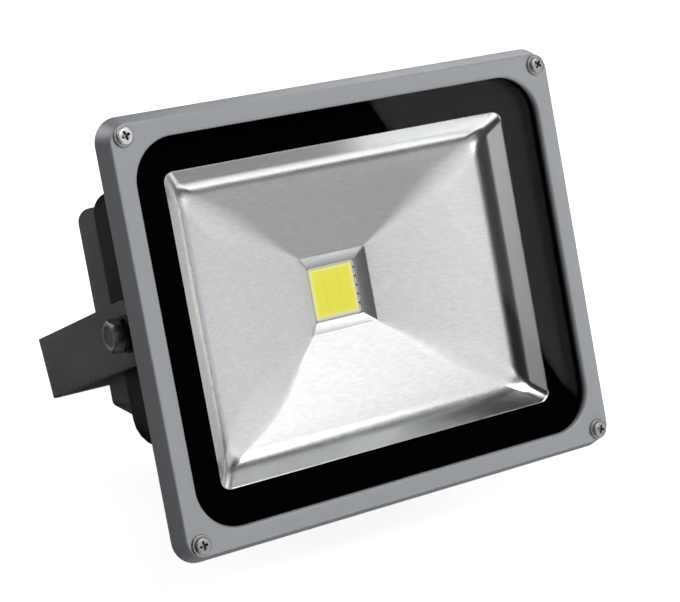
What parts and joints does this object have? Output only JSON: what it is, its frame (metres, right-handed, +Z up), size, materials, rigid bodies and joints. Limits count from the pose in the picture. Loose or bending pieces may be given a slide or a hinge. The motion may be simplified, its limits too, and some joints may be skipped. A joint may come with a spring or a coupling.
{
  "type": "led work light",
  "caption": "Flat rectangular LED floodlight head with a finned cast body, turned on two side bolts in a U-shaped mounting bracket",
  "frame": {"origin": "Centre of the bounding box in plan, on the floor the light stands on.", "axes": "+X to the right when looking into the light, +Y from the light's front to its back, +Z up. Metres."},
  "size_m": [0.225, 0.161, 0.1626],
  "materials": {
    "frame_paint": "satin grey paint",
    "body_paint": "satin black paint over die-cast aluminium",
    "cover_paint": "satin charcoal paint over die-cast aluminium",
    "bracket_paint": "satin black paint over steel",
    "bright_steel": "bright zinc plate",
    "dull_steel": "darker zinc plate",
    "bare_aluminium": "brushed",
    "clear_glass": "clear with a black printed border",
    "grey_silicone": "soft matt",
    "phosphor": "yellow phosphor gel",
    "white_silicone": "cream silicone",
    "black_nylon": "moulded black nylon",
    "white_nylon": "moulded white plastic",
    "red_lead": "red insulation",
    "black_lead": "black insulation"
  },
  "bodies": {
    "bracket": {"mounting_bracket": "bracket_paint", "plain_washer_left": "bright_steel", "plain_washer_right": "bright_steel"},
    "head": {"front_frame": "frame_paint", "glass_pane": "clear_glass", "glass_gasket": "grey_silicone", "reflector": "bare_aluminium", "led_base": "bare_aluminium", "thermal_pad": "grey_silicone", "led_dam": "white_silicone", "led_phosphor": "phosphor", "led_lead_positive": "red_lead", "led_lead_negative": "black_lead", "lead_grommet": "grey_silicone", "heatsink_body": "body_paint", "cover_gasket": "grey_silicone", "driver_cover": "cover_paint", "led_driver": "white_nylon", "driver_screw_left": "bright_steel", "driver_screw_right": "bright_steel", "terminal_block": "white_nylon", "earth_screw": "bright_steel", "gland_body": "black_nylon", "gland_locknut": "black_nylon", "gland_cap_nut": "black_nylon", "gland_seal": "grey_silicone", "frame_screw_top_left": "bright_steel", "led_screw_top_left": "bright_steel", "cover_screw_top_left": "bright_steel", "frame_screw_top_right": "bright_steel", "led_screw_top_right": "bright_steel", "cover_screw_top_right": "bright_steel", "frame_screw_bottom_left": "bright_steel", "led_screw_bottom_left": "bright_steel", "cover_screw_bottom_left": "bright_steel", "frame_screw_bottom_right": "bright_steel", "led_screw_bottom_right": "bright_steel", "cover_screw_bottom_right": "bright_steel", "pivot_bolt_left": "dull_steel", "spring_washer_left": "bright_steel", "lock_washer_left": "bright_steel", "pivot_bolt_right": "dull_steel", "spring_washer_right": "bright_steel", "lock_washer_right": "bright_steel"}
  },
  "joints": [
    {"name": "head_tilt", "type": "hinge", "parent": "bracket", "child": "head", "pos_m": [0, -0.00751, 0.07341], "axis": [1, 0, 0], "range_deg": [-99, 80]}
  ]
}
